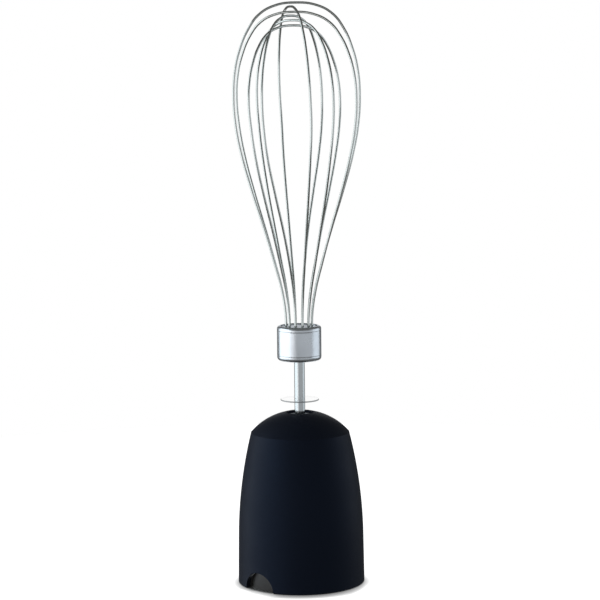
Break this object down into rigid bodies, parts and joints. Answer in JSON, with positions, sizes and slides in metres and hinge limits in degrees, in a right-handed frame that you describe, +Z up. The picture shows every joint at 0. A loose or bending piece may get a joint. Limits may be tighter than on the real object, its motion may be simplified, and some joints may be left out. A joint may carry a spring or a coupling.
{
  "type": "whisk attachment",
  "caption": "Balloon whisk on a steel stem with a clear splash disc, plugged into a black tapered gear collar that clips onto a hand blender's motor.",
  "frame": {"origin": "centre of the collar's open rim, in the plane it stands on", "axes": "+Z up along the whisk's axis, -Y towards the viewer, +X to the viewer's right"},
  "size_m": [0.052, 0.052, 0.2376],
  "materials": {
    "soft_touch_black": "soft-touch matte",
    "dark_plastic": "matte",
    "button_plastic": "matte",
    "grey_plastic": "matte",
    "acetal": "satin",
    "seal_rubber": "matte",
    "bronze": "sintered",
    "steel": "bright",
    "spring_steel": "bright",
    "polished_steel": "polished",
    "clear_plastic": "clear gloss"
  },
  "bodies": {
    "housing": {"collar_shell": "soft_touch_black", "coupling_sleeve": "dark_plastic", "gear_cover": "grey_plastic", "cover_gasket": "seal_rubber", "cover_screws": "steel", "gear_case": "grey_plastic", "ring_gear": "acetal", "thrust_plate": "steel", "drive_bearing": "bronze", "output_bearing": "bronze", "shaft_seal": "seal_rubber", "pivot_pins": "steel", "latch_spring_front": "spring_steel", "latch_spring_back": "spring_steel"},
    "carrier": {"carrier_plate": "steel", "output_spindle": "steel", "planet_pins": "steel", "planet_washers": "steel", "spindle_clip": "spring_steel", "snap_ring": "spring_steel"},
    "planet_1": {"planet_gear_1": "acetal"},
    "planet_2": {"planet_gear_2": "acetal"},
    "planet_3": {"planet_gear_3": "acetal"},
    "drive": {"sun_gear": "steel", "drive_coupling": "grey_plastic", "drive_clip": "spring_steel"},
    "whisk": {"whisk_shaft": "polished_steel", "splash_disc": "clear_plastic", "ferrule": "polished_steel", "ferrule_plug": "steel", "wire_loop_1": "polished_steel", "wire_loop_2": "polished_steel", "wire_loop_3": "polished_steel", "wire_loop_4": "polished_steel", "wire_loop_5": "polished_steel", "wire_loop_6": "polished_steel"},
    "button_front": {"release_button_front": "button_plastic"},
    "button_back": {"release_button_back": "button_plastic"}
  },
  "joints": [
    {"name": "whisk_spin", "type": "hinge", "parent": "housing", "child": "carrier", "pos_m": [0, 0, 0.046], "axis": [0, 0, 1], "continuous": true},
    {"name": "drive_spin", "type": "hinge", "parent": "housing", "child": "drive", "pos_m": [0, 0, 0.03], "axis": [0, 0, 1], "continuous": true},
    {"name": "planet_1_spin", "type": "hinge", "parent": "carrier", "child": "planet_1", "pos_m": [0.0105, 0, 0.037], "axis": [0, 0, 1], "continuous": true},
    {"name": "planet_2_spin", "type": "hinge", "parent": "carrier", "child": "planet_2", "pos_m": [-0.00525, 0.00909, 0.037], "axis": [0, 0, 1], "continuous": true},
    {"name": "planet_3_spin", "type": "hinge", "parent": "carrier", "child": "planet_3", "pos_m": [-0.00525, -0.00909, 0.037], "axis": [0, 0, 1], "continuous": true},
    {"name": "whisk_pull", "type": "slide", "parent": "carrier", "child": "whisk", "axis": [0, 0, 1], "range_m": [0, 0.022]},
    {"name": "button_front_press", "type": "hinge", "parent": "housing", "child": "button_front", "pos_m": [-0.01532, -0.0162, 0.011], "axis": [0.7266, -0.6871, 0], "range_deg": [0, 4.5], "stiffness_Nm_per_rad": 0.3, "springref_deg": -2.86},
    {"name": "button_back_press", "type": "hinge", "parent": "housing", "child": "button_back", "pos_m": [0.01532, 0.0162, 0.011], "axis": [-0.7266, 0.6871, 0], "range_deg": [0, 4.5], "stiffness_Nm_per_rad": 0.3, "springref_deg": -2.86}
  ],
  "couplings": [
    {"joint": "drive_spin", "follows": "whisk_spin", "ratio": 5},
    {"joint": "planet_1_spin", "follows": "whisk_spin", "ratio": -2.6667},
    {"joint": "planet_2_spin", "follows": "whisk_spin", "ratio": -2.6667},
    {"joint": "planet_3_spin", "follows": "whisk_spin", "ratio": -2.6667}
  ]
}
